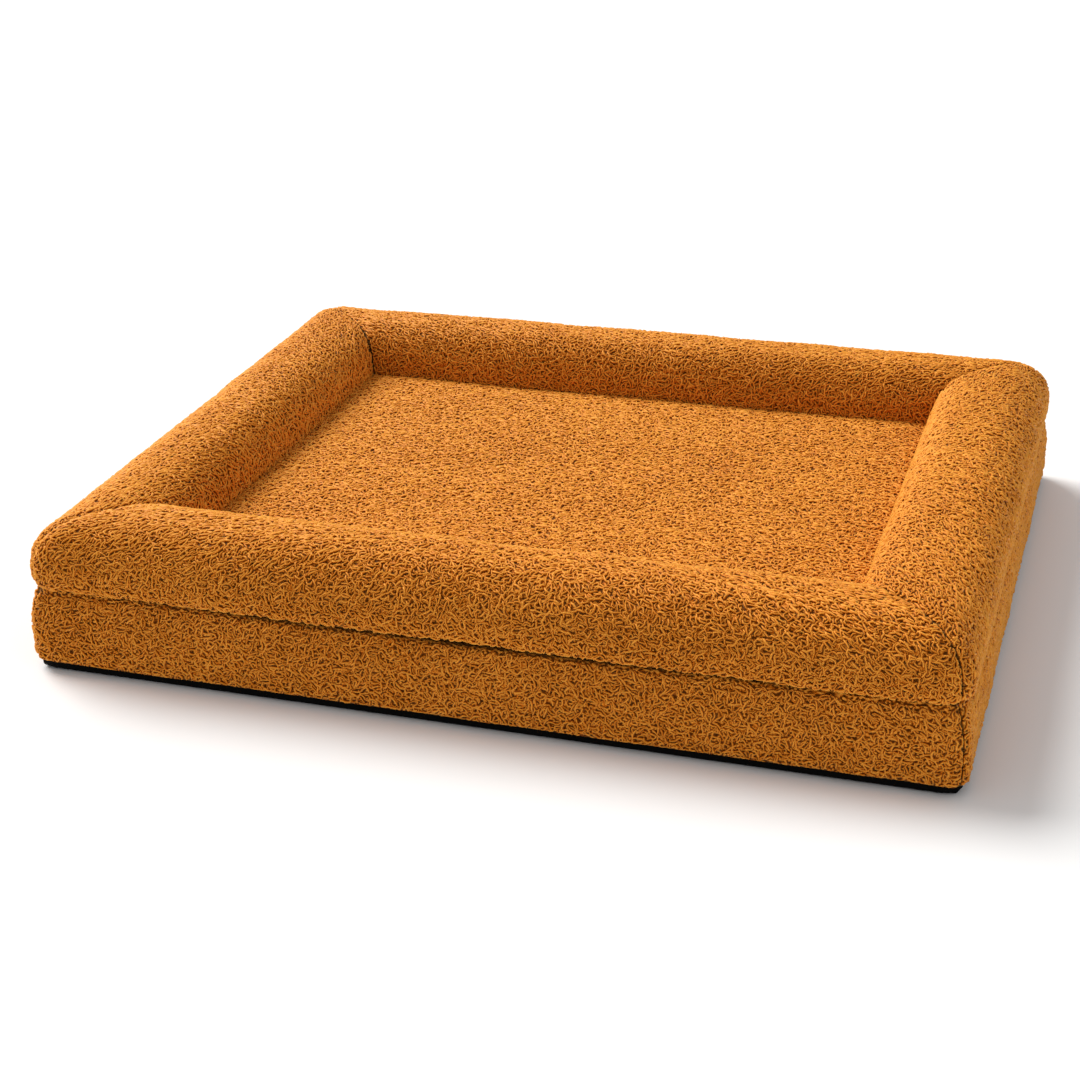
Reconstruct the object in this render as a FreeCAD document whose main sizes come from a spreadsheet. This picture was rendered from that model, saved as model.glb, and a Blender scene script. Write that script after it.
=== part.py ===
"""Pet cushion bed: a box-walled foam mattress with a square ring bolster round a sunken sleeping panel.

The origin is on the floor under the middle of the bed. X runs along the long side, -Y is the front,
+Y is the rear, where the cover's zip is, and +Z is up. All sizes are in millimetres.
"""
import FreeCAD, Part
import os
import Sketcher

V = FreeCAD.Vector
UP = V(0, 0, 1)

# Driving dimensions: alias, value, what it is
SIZES = [
    ("length", 900.0, "overall length along X"),
    ("depth", 730.0, "overall depth along Y"),
    ("mattress_height", 86.0, "height of the seam between mattress and bolster"),
    ("bolster_height", 64.0, "height of the bolster's crest above that seam"),
    ("corner_radius", 30.0, "plan radius of the four outer corners"),
    ("boucle_cloth", 2.5, "thickness of the looped outer cloth"),
    ("lining_cloth", 1.0, "thickness of the plain cloth under the bolster"),
    ("base_cloth", 2.0, "thickness of the non-slip base cloth"),
    ("base_rise", 12.0, "height of the base cloth's turned-up edge"),
    ("base_inset", 4.0, "how far the base seam sits inside the wall"),
    ("base_edge_radius", 6.0, "radius of the base's bottom edge"),
    ("groove_inset", 5.5, "depth of the groove at that seam"),
    ("wall_low_roll", 16.0, "height over which the wall rolls in to the base seam"),
    ("wall_top_roll", 18.0, "height over which the wall rolls in to the groove"),
    ("bolster_width", 117.0, "bolster's width from outer to inner face"),
    ("crown_rise", 36.0, "rise from the bolster's widest line to its crest"),
    ("shoulder_radius", 24.0, "radius of the bolster's outer shoulder"),
    ("crest_flat", 11.0, "width of the bolster's flat crest"),
    ("inner_edge_radius", 20.0, "radius of the bolster's top inner edge"),
    ("panel_loft", 9.0, "thickness of the wadding quilted under the sleeping panel"),
    ("core_gap", 0.5, "clearance between a bolster core and its cover"),
    ("liner_clearance", 2.35, "gap between the zip slider's back and the foam liner"),
    ("liner_cloth", 0.8, "thickness of the foam liner"),
    ("liner_edge_radius", 6.0, "radius of the liner's bottom edge"),
    ("foam_gap", 0.3, "clearance between the foam and its liner"),
    ("comfort_layer", 30.0, "thickness of the soft top foam"),
    ("zip_level", 40.0, "height of the zip's centre line"),
    ("zip_end_gap", 33.5, "flat wall between the zip's frame and the corner"),
    ("zip_face_gap", 0.45, "depth of the slider's arch behind the wall's face"),
    ("slot_gap", 2.2, "clearance between the slider and the slot's edge"),
    ("tape_lap", 4.0, "tape length under each end of the frame"),
    ("tape_width", 14.0, "width of each zip tape"),
    ("tape_cloth", 0.7, "thickness of the zip tape"),
    ("coil_width", 3.0, "width of each coil row"),
    ("coil_rise", 2.2, "height of the coil above the tape"),
    ("coil_slit", 1.6, "gap between the two coil rows"),
    ("stop_length", 3.0, "length of an end stop"),
    ("stop_rise", 0.4, "height of an end stop above the coil"),
    ("slider_length", 14.0, "length of the slider"),
    ("slider_flange", 1.15, "thickness of the slider's two flanges"),
    ("slider_plate", 1.2, "thickness of the slider's two plates"),
    ("slider_gap", 0.35, "clearance between the slider and the chain"),
    ("post_width", 0.8, "width of the slider's post"),
    ("post_length", 3.0, "length of the slider's post"),
    ("arch_length", 8.0, "length of the slider's arch"),
    ("arch_width", 2.0, "width of the slider's arch"),
    ("arch_bar", 1.2, "thickness of the slider's arch"),
    ("arch_gap", 2.0, "height of the opening under the arch"),
    ("pull_length", 24.0, "length of the pull tab from its pin"),
    ("pull_width", 7.0, "width of the pull tab"),
    ("pull_plate", 1.2, "thickness of the pull tab"),
    ("pull_gap", 0.5, "clearance between the pull tab's window and the arch"),
    ("pull_clearance", 2.0, "gap between the pull tab's tip and the slot's end"),
    ("pin_gap", 0.3, "clearance round the pull tab's pin"),
    ("pin_inset", 0.3, "depth of the pull tab's end bar beside its pin's centre"),
]

doc = FreeCAD.newDocument("pet_bed")
sheet = doc.addObject("Spreadsheet::Sheet", "Sizes")
for row, (alias, value, meaning) in enumerate(SIZES, start=1):
    sheet.set(f"A{row}", alias)
    sheet.set(f"B{row}", str(value))
    sheet.set(f"C{row}", meaning)
    sheet.setAlias(f"B{row}", alias)
doc.recompute()
ALIASES = sorted((alias for alias, _, _ in SIZES), key=len, reverse=True)


# Sizes that follow from the driving ones
GROOVE_LEVEL = "mattress_height"
HEIGHT = "(mattress_height + bolster_height)"
SHOULDER_LEVEL = f"({HEIGHT} - crown_rise)"
CREST_INSET = "(bolster_width - inner_edge_radius - crest_flat)"
ZIP_RECESS = "(coil_rise + slider_gap + slider_plate + arch_gap + arch_bar + zip_face_gap)"
LINER_INSET = f"({ZIP_RECESS} + tape_cloth + slider_gap + slider_plate + liner_clearance)"
COIL_HALF = "(coil_slit / 2 + coil_width)"
SLIDER_HALF_WIDTH = f"({COIL_HALF} + slider_gap + slider_flange)"
SLOT_HALF_HEIGHT = f"({SLIDER_HALF_WIDTH} + slot_gap)"
FRAME_HALF = "(length / 2 - corner_radius - zip_end_gap)"
SLOT_HALF = f"({FRAME_HALF} - boucle_cloth)"
SLIDER_X = f"({SLOT_HALF} - pull_clearance - pull_length)"
CHAIN_HALF = f"({SLIDER_X} + slider_length / 2 + slider_gap)"
TAPE_HALF = f"({SLOT_HALF} + tape_lap)"
TAPE_FACE = f"(depth / 2 - {ZIP_RECESS})"
TOP_PLATE = f"({TAPE_FACE} + coil_rise + slider_gap)"
PLATE_FACE = f"({TOP_PLATE} + slider_plate)"
BACK_PLATE = f"({TAPE_FACE} - tape_cloth - slider_gap)"
PIN_Y = f"({PLATE_FACE} + arch_gap / 2)"


def bound(formula):
    """Turn a formula in plain size names into one that points at the sheet's cells."""
    words = []
    word = ""
    for mark in str(formula) + " ":
        if mark.isalnum() or mark == "_" or mark == ".":
            word += mark
            continue
        words.append(f"Sizes.{word}" if word in ALIASES else word)
        words.append(mark)
        word = ""
    return "".join(words).strip()


def size(formula):
    """The value of a formula in millimetres."""
    return float(sheet.evalExpression(bound(formula)))


def drive(thing, path, formula):
    """Bind one property of an object to a formula in the sheet's sizes."""
    thing.setExpression(path, bound(formula))


def arc_between(start, end, radius, turn):
    """The short arc from start to end; turn is 1 for anticlockwise and -1 for clockwise."""
    chord = end - start
    reach = max(radius ** 2 - (chord.Length / 2) ** 2, 0.0) ** 0.5
    side = V(-chord.y, chord.x, 0).normalize() * reach * turn
    centre = (start + end) * 0.5 + side
    circle = Part.Circle(centre, UP, radius)
    first = circle.parameter(start if turn > 0 else end)
    last = circle.parameter(end if turn > 0 else start)
    return Part.ArcOfCircle(circle, first, last)


def outline(sketch, corners):
    """Draw a closed outline. A corner is (x, y) for a straight edge arriving there, or
    (x, y, radius, turn) for an arc. Every coordinate and radius is bound to the sheet."""
    points = [V(size(corner[0]), size(corner[1]), 0) for corner in corners]
    ends = []
    for index, corner in enumerate(corners):
        start = points[index - 1]
        end = points[index]
        if len(corner) == 2:
            edge = sketch.addGeometry(Part.LineSegment(start, end))
            ends.append((edge, 1, 2))
            continue
        edge = sketch.addGeometry(arc_between(start, end, size(corner[2]), corner[3]))
        ends.append((edge, 1, 2) if corner[3] > 0 else (edge, 2, 1))
        place = sketch.addConstraint(Sketcher.Constraint("Radius", edge, size(corner[2])))
        drive(sketch, f"Constraints[{place}]", corner[2])
    for index, corner in enumerate(corners):
        edge, _, tip = ends[index]
        following, tail, _ = ends[(index + 1) % len(corners)]
        sketch.addConstraint(Sketcher.Constraint("Coincident", edge, tip, following, tail))
        for kind, formula in (("DistanceX", corner[0]), ("DistanceY", corner[1])):
            pin = Sketcher.Constraint(kind, -1, 1, edge, tip, size(formula))
            place = sketch.addConstraint(pin)
            drive(sketch, f"Constraints[{place}]", formula)


def body_with_pad(label, role, outlines, start, length):
    """A body padded from an outline on one of its own origin planes, from start over length."""
    body = doc.addObject("PartDesign::Body", label)
    plane = next(item for item in body.Origin.OriginFeatures if item.Role == role)
    sketch = body.newObject("Sketcher::SketchObject", label + "_outline")
    sketch.AttachmentSupport = [(plane, "")]
    sketch.MapMode = "FlatFace"
    drive(sketch, "AttachmentOffset.Base.z", start)
    for corners in outlines:
        outline(sketch, corners)
    pad = body.newObject("PartDesign::Pad", label + "_pad")
    pad.Profile = sketch
    drive(pad, "Length", length)
    doc.recompute()
    return body


def round_bottom_edges(body, radius):
    """Fillet every edge of the body's lowest face."""
    base = body.Tip
    solid = base.Shape
    floor = solid.BoundBox.ZMin
    low = [
        f"Edge{number}"
        for number, edge in enumerate(solid.Edges, start=1)
        if edge.BoundBox.ZMax < floor + 0.01
    ]
    fillet = body.newObject("PartDesign::Fillet", body.Name + "_edge")
    fillet.Base = (base, low)
    drive(fillet, "Radius", radius)
    doc.recompute()


def rounded_rectangle(inset):
    """Plan outline of the bed, moved inwards all round by inset."""
    half_x = f"(length / 2 - {inset})"
    half_y = f"(depth / 2 - {inset})"
    radius = f"(corner_radius - {inset})"
    return [
        (f"-{half_x} + {radius}", f"-{half_y}", radius, 1),
        (f"{half_x} - {radius}", f"-{half_y}"),
        (half_x, f"-{half_y} + {radius}", radius, 1),
        (half_x, f"{half_y} - {radius}"),
        (f"{half_x} - {radius}", half_y, radius, 1),
        (f"-{half_x} + {radius}", half_y),
        (f"-{half_x}", f"{half_y} - {radius}", radius, 1),
        (f"-{half_x}", f"-{half_y} + {radius}"),
    ]


def rectangle(low_x, low_y, high_x, high_y):
    """Four straight edges between two corners."""
    return [(low_x, low_y), (high_x, low_y), (high_x, high_y), (low_x, high_y)]


def rounded_block(label, inset, low, high, edge_radius=None):
    """A slab of the bed's plan shape between two heights, its bottom edge rounded if asked."""
    block = body_with_pad(label, "XY_Plane", [rounded_rectangle(inset)], low, f"{high} - ({low})")
    if edge_radius:
        round_bottom_edges(block, edge_radius)
    return block


def box(label, low, high):
    """A Part box between two corners given as formulas."""
    block = doc.addObject("Part::Box", label)
    for axis, name in enumerate(("Length", "Width", "Height")):
        drive(block, name, f"({high[axis]}) - ({low[axis]})")
        drive(block, "Placement.Base." + "xyz"[axis], low[axis])
    return block


def cut(label, base, tool):
    """Base with tool taken away."""
    result = doc.addObject("Part::Cut", label)
    result.Base = base
    result.Tool = tool
    return result


def fuse(label, *pieces):
    """Pieces joined into one solid."""
    result = doc.addObject("Part::MultiFuse", label)
    result.Shapes = list(pieces)
    return result


def turn_about_z(thing, degrees):
    """Turn a piece built at the front to another side of the bed."""
    thing.Placement = FreeCAD.Placement(V(0, 0, 0), FreeCAD.Rotation(UP, degrees))


def base_panel():
    """Non-slip base: a shallow cloth tray with a turned-up edge."""
    outside = rounded_block("base_outside", "base_inset", "0", "base_rise", "base_edge_radius")
    inside = rounded_block(
        "base_inside",
        "(base_inset + base_cloth)",
        "base_cloth",
        "base_rise + 1",
        "base_edge_radius - base_cloth",
    )
    return cut("base_panel", outside, inside)


# The wall's rolled edges are arcs that start upright on the wall's face
LOW_ROLL_RADIUS = "((base_inset ^ 2 + wall_low_roll ^ 2) / (2 * base_inset))"
TOP_ROLL_RADIUS = "((groove_inset ^ 2 + wall_top_roll ^ 2) / (2 * groove_inset))"
WALL_TOP = f"({GROOVE_LEVEL} - lining_cloth)"


def wall_profile():
    """Section through a mattress wall: x is the distance in from its face, y is the height."""
    low_in = f"({LOW_ROLL_RADIUS} - sqrt(({LOW_ROLL_RADIUS} - boucle_cloth) ^ 2 - wall_low_roll ^ 2))"
    top_in = f"({TOP_ROLL_RADIUS} - sqrt(({TOP_ROLL_RADIUS} - boucle_cloth) ^ 2 - wall_top_roll ^ 2))"
    low_face = "base_rise + wall_low_roll"
    top_face = f"{WALL_TOP} - wall_top_roll"
    return [
        ("base_inset", "base_rise"),
        ("0", low_face, LOW_ROLL_RADIUS, -1),
        ("0", top_face),
        ("groove_inset", WALL_TOP, TOP_ROLL_RADIUS, -1),
        (top_in, WALL_TOP),
        ("boucle_cloth", top_face, f"{TOP_ROLL_RADIUS} - boucle_cloth", 1),
        ("boucle_cloth", low_face),
        (low_in, "base_rise", f"{LOW_ROLL_RADIUS} - boucle_cloth", 1),
    ]


def wall(label, span, setback):
    """A mattress wall: its section swept along the outline from one corner's mitre to the next."""
    drop = "corner_radius * (1 - cos(45))"
    half = f"({span} / 2 - {drop})"
    path = doc.addObject("Sketcher::SketchObject", label + "_path")
    start = V(-size(half), -size(f"{setback} - {drop}"), 0)
    bend = V(-size(f"{span} / 2 - corner_radius"), -size(setback), 0)
    far_bend = V(-bend.x, bend.y, 0)
    stop = V(-start.x, start.y, 0)
    radius = size("corner_radius")
    edges = [
        path.addGeometry(arc_between(start, bend, radius, 1)),
        path.addGeometry(Part.LineSegment(bend, far_bend)),
        path.addGeometry(arc_between(far_bend, stop, radius, 1)),
    ]
    pins = [
        (edges[0], 1, f"-{half}", f"-({setback} - {drop})"),
        (edges[0], 2, f"-({span} / 2 - corner_radius)", f"-{setback}"),
        (edges[1], 2, f"{span} / 2 - corner_radius", f"-{setback}"),
        (edges[2], 2, half, f"-({setback} - {drop})"),
    ]
    for edge, tip, x, y in pins:
        for kind, formula in (("DistanceX", x), ("DistanceY", y)):
            place = path.addConstraint(Sketcher.Constraint(kind, -1, 1, edge, tip, size(formula)))
            drive(path, f"Constraints[{place}]", formula)
    for edge in (edges[0], edges[2]):
        place = path.addConstraint(Sketcher.Constraint("Radius", edge, radius))
        drive(path, f"Constraints[{place}]", "corner_radius")
    path.addConstraint(Sketcher.Constraint("Coincident", edges[0], 2, edges[1], 1))
    path.addConstraint(Sketcher.Constraint("Coincident", edges[1], 2, edges[2], 1))

    section = doc.addObject("Sketcher::SketchObject", label + "_section")
    upright = FreeCAD.Rotation(V(1, 0, 0), 90)
    section.Placement = FreeCAD.Placement(start, FreeCAD.Rotation(UP, 45) * upright)
    drive(section, "Placement.Base.x", f"-{half}")
    drive(section, "Placement.Base.y", f"-({setback} - {drop})")
    outline(section, wall_profile())

    sweep = doc.addObject("Part::Sweep", label)
    sweep.Sections = [section]
    sweep.Spine = (path, ["Edge1", "Edge2", "Edge3"])
    sweep.Solid = True
    sweep.Frenet = False
    return sweep


def rear_wall(label):
    """The rear wall, with a framed slot for the zip. It is built at the front and turned."""
    slot_low = f"(zip_level - {SLOT_HALF_HEIGHT})"
    slot_high = f"(zip_level + {SLOT_HALF_HEIGHT})"
    plain = wall("rear_wall_plain", "length", "depth / 2")
    frame = box(
        "zip_frame",
        (f"-{FRAME_HALF}", "-depth / 2", f"{slot_low} - boucle_cloth"),
        (FRAME_HALF, f"-depth / 2 + {ZIP_RECESS}", f"{slot_high} + boucle_cloth"),
    )
    slot = box(
        "zip_slot_cut",
        (f"-{SLOT_HALF}", "-depth / 2 - 1", slot_low),
        (SLOT_HALF, f"-depth / 2 + {ZIP_RECESS} + 1", slot_high),
    )
    return cut(label, fuse("rear_wall_framed", plain, frame), slot)


# The bolster's top is two tangent arcs: a tight shoulder, then a wide arc up to the crest
SHOULDER_RUN = f"({CREST_INSET} - shoulder_radius)"
CROWN_RADIUS = (
    f"(({SHOULDER_RUN} ^ 2 + crown_rise ^ 2 - shoulder_radius ^ 2)"
    " / (2 * (crown_rise - shoulder_radius)))"
)
SKIRT_RISE = "(bolster_height - crown_rise)"
SKIRT_RADIUS = f"((groove_inset ^ 2 + {SKIRT_RISE} ^ 2) / (2 * groove_inset))"


def bolster_profile(inset):
    """Section through the bolster, moved inwards by inset but open to the groove's level."""
    reach = f"(({CROWN_RADIUS} - {inset}) / ({CROWN_RADIUS} - shoulder_radius))"
    skirt_foot = f"({SKIRT_RADIUS} - sqrt(({SKIRT_RADIUS} - {inset}) ^ 2 - {SKIRT_RISE} ^ 2))"
    meet_x = f"{CREST_INSET} - {SHOULDER_RUN} * {reach}"
    meet_y = f"{HEIGHT} - {CROWN_RADIUS} + ({CROWN_RADIUS} - crown_rise) * {reach}"
    inner_face = f"bolster_width - {inset}"
    return [
        (skirt_foot, GROOVE_LEVEL),
        (inset, SHOULDER_LEVEL, f"{SKIRT_RADIUS} - {inset}", -1),
        (meet_x, meet_y, f"shoulder_radius - {inset}", -1),
        (CREST_INSET, f"{HEIGHT} - {inset}", f"{CROWN_RADIUS} - {inset}", -1),
        ("bolster_width - inner_edge_radius", f"{HEIGHT} - {inset}"),
        (inner_face, f"{HEIGHT} - inner_edge_radius", f"inner_edge_radius - {inset}", -1),
        (inner_face, GROOVE_LEVEL),
    ]


def side_plan(span, setback, inset, mitre_gap):
    """Plan of one side of the bolster: mitred ends, outer corners rounded."""
    radius = f"(corner_radius - {inset})"
    drop = f"({inset} + {radius} * (1 - cos(45)))"
    end_x = f"({span} / 2 - {drop} - {mitre_gap})"
    bend_x = f"({span} / 2 - corner_radius - {mitre_gap})"
    inner_x = f"({span} / 2 - bolster_width - {mitre_gap})"
    return [
        (f"-{end_x}", f"-({setback} - {drop})"),
        (f"-{bend_x}", f"-({setback} - {inset})", radius, 1),
        (bend_x, f"-({setback} - {inset})"),
        (end_x, f"-({setback} - {drop})", radius, 1),
        (inner_x, f"-({setback} - bolster_width)"),
        (f"-{inner_x}", f"-({setback} - bolster_width)"),
    ]


def bolster_side(label, span, setback, inset, mitre_gap):
    """One side of the bolster as a solid: its section run along the side, trimmed to its plan."""
    run = doc.addObject("PartDesign::Body", label + "_run")
    plane = next(item for item in run.Origin.OriginFeatures if item.Role == "YZ_Plane")
    section = run.newObject("Sketcher::SketchObject", label + "_section")
    section.AttachmentSupport = [(plane, "")]
    section.MapMode = "FlatFace"
    drive(section, "AttachmentOffset.Base.x", f"-({setback})")
    outline(section, bolster_profile(inset))
    pad = run.newObject("PartDesign::Pad", label + "_pad")
    pad.Profile = section
    pad.SideType = "Symmetric"
    drive(pad, "Length", span)
    doc.recompute()
    plan = body_with_pad(
        label + "_plan",
        "XY_Plane",
        [side_plan(span, setback, inset, mitre_gap)],
        GROOVE_LEVEL,
        "bolster_height",
    )
    side = doc.addObject("Part::Common", label)
    side.Base = run
    side.Tool = plan
    return side


def bolster_cover(label, span, setback):
    """Bolster cover: an inverted trough of boucle cloth, open at its mitred ends."""
    outside = bolster_side(label + "_outside", span, setback, "0", "0")
    inside = bolster_side(label + "_inside", span, setback, "boucle_cloth", "0")
    return cut(label, outside, inside)


def bolster_core(label, span, setback):
    """Foam core of one side of the bolster."""
    return bolster_side(label, span, setback, "(boucle_cloth + core_gap)", "core_gap")


def divider_cloth():
    """Lining between the bolster and the mattress, sewn into the groove all round."""
    hole_x = "(length / 2 - bolster_width)"
    hole_y = "(depth / 2 - bolster_width)"
    return body_with_pad(
        "divider_cloth",
        "XY_Plane",
        [
            rounded_rectangle("groove_inset"),
            rectangle(f"-{hole_x}", f"-{hole_y}", hole_x, hole_y),
        ],
        WALL_TOP,
        "lining_cloth",
    )


def sleeping_panel():
    """Boucle panel that the animal lies on, quilted to its wadding and sewn to the bolster's foot."""
    half_x = "(length / 2 - bolster_width)"
    half_y = "(depth / 2 - bolster_width)"
    return body_with_pad(
        "sleeping_panel",
        "XY_Plane",
        [rectangle(f"-{half_x}", f"-{half_y}", half_x, half_y)],
        WALL_TOP,
        "lining_cloth + panel_loft + boucle_cloth",
    )


FOAM_INSET = f"({LINER_INSET} + liner_cloth + foam_gap)"
FOAM_FLOOR = "(base_cloth + liner_cloth)"
FOAM_TOP = f"({WALL_TOP} - liner_cloth)"


def foam_liner():
    """Closed inner bag that holds the mattress foam."""
    outside = rounded_block("liner_outside", LINER_INSET, "base_cloth", WALL_TOP, "liner_edge_radius")
    inside = rounded_block(
        "liner_inside",
        f"({LINER_INSET} + liner_cloth)",
        FOAM_FLOOR,
        FOAM_TOP,
        "liner_edge_radius - liner_cloth",
    )
    return cut("foam_liner", outside, inside)


def zip_tape(label, side):
    """One zip tape; side is 1 for the upper and -1 for the lower."""
    near = f"zip_level + {side} * coil_slit / 2"
    far = f"zip_level + {side} * (coil_slit / 2 + tape_width)"
    low, high = (near, far) if side > 0 else (far, near)
    return box(
        label,
        (f"-{TAPE_HALF}", f"{TAPE_FACE} - tape_cloth", low),
        (TAPE_HALF, TAPE_FACE, high),
    )


def zip_coil(label, side):
    """One row of the zip's coil, as the bar that the coil is wound in."""
    near = f"zip_level + {side} * coil_slit / 2"
    far = f"zip_level + {side} * {COIL_HALF}"
    low, high = (near, far) if side > 0 else (far, near)
    return box(
        label,
        (f"-{CHAIN_HALF}", TAPE_FACE, low),
        (CHAIN_HALF, f"{TAPE_FACE} + coil_rise", high),
    )


def zip_end_stops():
    """The two clamps that end the chain."""
    top = f"{TAPE_FACE} + coil_rise + stop_rise"
    stops = []
    for name, low_x in (("left_stop", f"-{CHAIN_HALF} - stop_length"), ("right_stop", CHAIN_HALF)):
        low = (low_x, TAPE_FACE, f"zip_level - {COIL_HALF}")
        high = (f"{low_x} + stop_length", top, f"zip_level + {COIL_HALF}")
        stops.append(box(name, low, high))
    pair = doc.addObject("Part::Compound", "zip_end_stops")
    pair.Links = stops
    return pair


def zip_slider():
    """Two plates joined by a post between the coil rows, with flanges and an arch for the pull.
    It rests against the right-hand stop, with the zip closed."""
    half_x = "slider_length / 2"
    half_z = SLIDER_HALF_WIDTH
    flange = f"({COIL_HALF} + slider_gap)"

    def block(name, low, high):
        shifted_low = (f"{SLIDER_X} + {low[0]}", low[1], f"zip_level + {low[2]}")
        shifted_high = (f"{SLIDER_X} + {high[0]}", high[1], f"zip_level + {high[2]}")
        return box("slider_" + name, shifted_low, shifted_high)

    arch_top = f"{PLATE_FACE} + arch_gap + arch_bar"
    arch_outside = block(
        "arch_outside",
        ("-arch_length / 2", PLATE_FACE, "-arch_width / 2"),
        ("arch_length / 2", arch_top, "arch_width / 2"),
    )
    arch_inside = block(
        "arch_inside",
        ("-arch_length / 2 + arch_bar", PLATE_FACE, "-arch_width / 2 - 1"),
        ("arch_length / 2 - arch_bar", f"{PLATE_FACE} + arch_gap", "arch_width / 2 + 1"),
    )
    pieces = [
        block("top_plate", (f"-{half_x}", TOP_PLATE, f"-{half_z}"), (half_x, PLATE_FACE, half_z)),
        block(
            "back_plate",
            (f"-{half_x}", f"{BACK_PLATE} - slider_plate", f"-{half_z}"),
            (half_x, BACK_PLATE, half_z),
        ),
        block(
            "post",
            (f"-{half_x}", BACK_PLATE, "-post_width / 2"),
            (f"-{half_x} + post_length", TOP_PLATE, "post_width / 2"),
        ),
        block(
            "upper_flange",
            (f"-{half_x}", f"{TAPE_FACE} + slider_gap", flange),
            (half_x, TOP_PLATE, half_z),
        ),
        block(
            "lower_flange",
            (f"-{half_x}", f"{TAPE_FACE} + slider_gap", f"-{half_z}"),
            (half_x, TOP_PLATE, f"-{flange}"),
        ),
        cut("slider_arch", arch_outside, arch_inside),
    ]
    return fuse("zip_slider", *pieces)


def zip_pull():
    """Pull tab: a windowed plate with a round pin that turns under the slider's arch."""
    tab = body_with_pad(
        "pull_tab",
        "XZ_Plane",
        [
            rectangle(
                f"{SLIDER_X} - pull_length",
                "zip_level - pull_width / 2",
                SLIDER_X,
                "zip_level + pull_width / 2",
            ),
            rectangle(
                f"{SLIDER_X} - arch_length / 2 - 2 * pull_gap",
                "zip_level - arch_width / 2 - pull_gap",
                f"{SLIDER_X} - pin_inset",
                "zip_level + arch_width / 2 + pull_gap",
            ),
        ],
        f"-({PIN_Y} + pull_plate / 2)",
        "pull_plate",
    )
    pin = doc.addObject("Part::Cylinder", "pull_pin")
    drive(pin, "Radius", "arch_gap / 2 - pin_gap")
    drive(pin, "Height", "pull_width")
    drive(pin, "Placement.Base.x", SLIDER_X)
    drive(pin, "Placement.Base.y", PIN_Y)
    drive(pin, "Placement.Base.z", "zip_level - pull_width / 2")
    return fuse("zip_pull", tab, pin)


PARTS = {
    "base_panel": base_panel(),
    "boxing_front": wall("boxing_front", "length", "depth / 2"),
    "boxing_right": wall("boxing_right", "depth", "length / 2"),
    "boxing_rear": rear_wall("boxing_rear"),
    "boxing_left": wall("boxing_left", "depth", "length / 2"),
    "divider_cloth": divider_cloth(),
    "sleeping_panel": sleeping_panel(),
    "foam_liner": foam_liner(),
    "support_foam": rounded_block(
        "support_foam",
        FOAM_INSET,
        FOAM_FLOOR,
        f"({FOAM_TOP} - comfort_layer)",
        "liner_edge_radius - liner_cloth - foam_gap",
    ),
    "comfort_foam": rounded_block(
        "comfort_foam", FOAM_INSET, f"({FOAM_TOP} - comfort_layer)", FOAM_TOP
    ),
    "zip_tape_upper": zip_tape("zip_tape_upper", 1),
    "zip_tape_lower": zip_tape("zip_tape_lower", -1),
    "zip_coil_upper": zip_coil("zip_coil_upper", 1),
    "zip_coil_lower": zip_coil("zip_coil_lower", -1),
    "zip_end_stops": zip_end_stops(),
    "zip_slider": zip_slider(),
    "zip_pull": zip_pull(),
}

# Each side of the bed is built as if it were the front one, then turned to its place
SIDES = {"front": 0, "right": 90, "rear": 180, "left": 270}
for side, degrees in SIDES.items():
    across = side in ("front", "rear")
    span = "length" if across else "depth"
    setback = "depth / 2" if across else "length / 2"
    PARTS["bolster_cover_" + side] = bolster_cover("bolster_cover_" + side, span, setback)
    PARTS["bolster_core_" + side] = bolster_core("bolster_core_" + side, span, setback)
    for kind in ("boxing_", "bolster_cover_", "bolster_core_"):
        turn_about_z(PARTS[kind + side], degrees)
doc.recompute()

for item in doc.Objects:
    if "Invalid" in item.State or "Error" in item.State:
        raise RuntimeError(f"{item.Label} failed: {item.State}")
for node, part in PARTS.items():
    if part.Shape.isNull() or not part.Shape.isValid() or part.Shape.Volume <= 0:
        raise RuntimeError(f"{node} has no valid solid")

os.makedirs("parts", exist_ok=True)
for node, part in PARTS.items():
    part.Label = node
    part.Shape.exportStep(f"parts/{node}.step")
    bounds = part.Shape.BoundBox
    print(f"{node}: {len(part.Shape.Solids)} solid, {part.Shape.Volume / 1000:.2f} cm3,"
          f" z {bounds.ZMin:.1f} to {bounds.ZMax:.1f}")
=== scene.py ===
"""Looks of the pet cushion bed: looped boucle covers, a black non-slip base and the rear zip.

Every cover is a surface over two numbers, across (along a side of the bed) and along (up its
section). The yarn is thousands of short curled loops laid on those surfaces.
"""

import math
from functools import partial

import bpy
import numpy as np
from mathutils import Matrix, Vector


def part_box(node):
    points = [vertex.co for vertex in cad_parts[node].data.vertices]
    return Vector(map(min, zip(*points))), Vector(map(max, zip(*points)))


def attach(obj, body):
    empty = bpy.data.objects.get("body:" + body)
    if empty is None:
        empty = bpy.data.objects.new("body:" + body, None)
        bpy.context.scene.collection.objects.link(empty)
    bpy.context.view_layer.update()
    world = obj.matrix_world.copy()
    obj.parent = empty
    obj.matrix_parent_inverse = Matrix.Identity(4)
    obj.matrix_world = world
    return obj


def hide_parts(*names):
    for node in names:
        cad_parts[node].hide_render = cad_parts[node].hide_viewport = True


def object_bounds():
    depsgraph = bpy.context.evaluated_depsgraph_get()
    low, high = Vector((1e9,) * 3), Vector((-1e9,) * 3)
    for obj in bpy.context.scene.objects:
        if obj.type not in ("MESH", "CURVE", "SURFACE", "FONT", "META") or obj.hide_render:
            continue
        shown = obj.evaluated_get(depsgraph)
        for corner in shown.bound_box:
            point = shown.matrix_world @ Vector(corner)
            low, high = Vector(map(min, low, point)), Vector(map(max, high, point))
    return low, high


bl_info = {
    "name": "Pet cushion bed",
    "version": (1, 0, 0),
    "blender": (4, 5, 0),
    "location": "3D View > Sidebar > Pet bed",
    "description": "Builds the boucle covers, base and zip of a pet bed round its CAD frame",
    "category": "Object",
}

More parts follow.
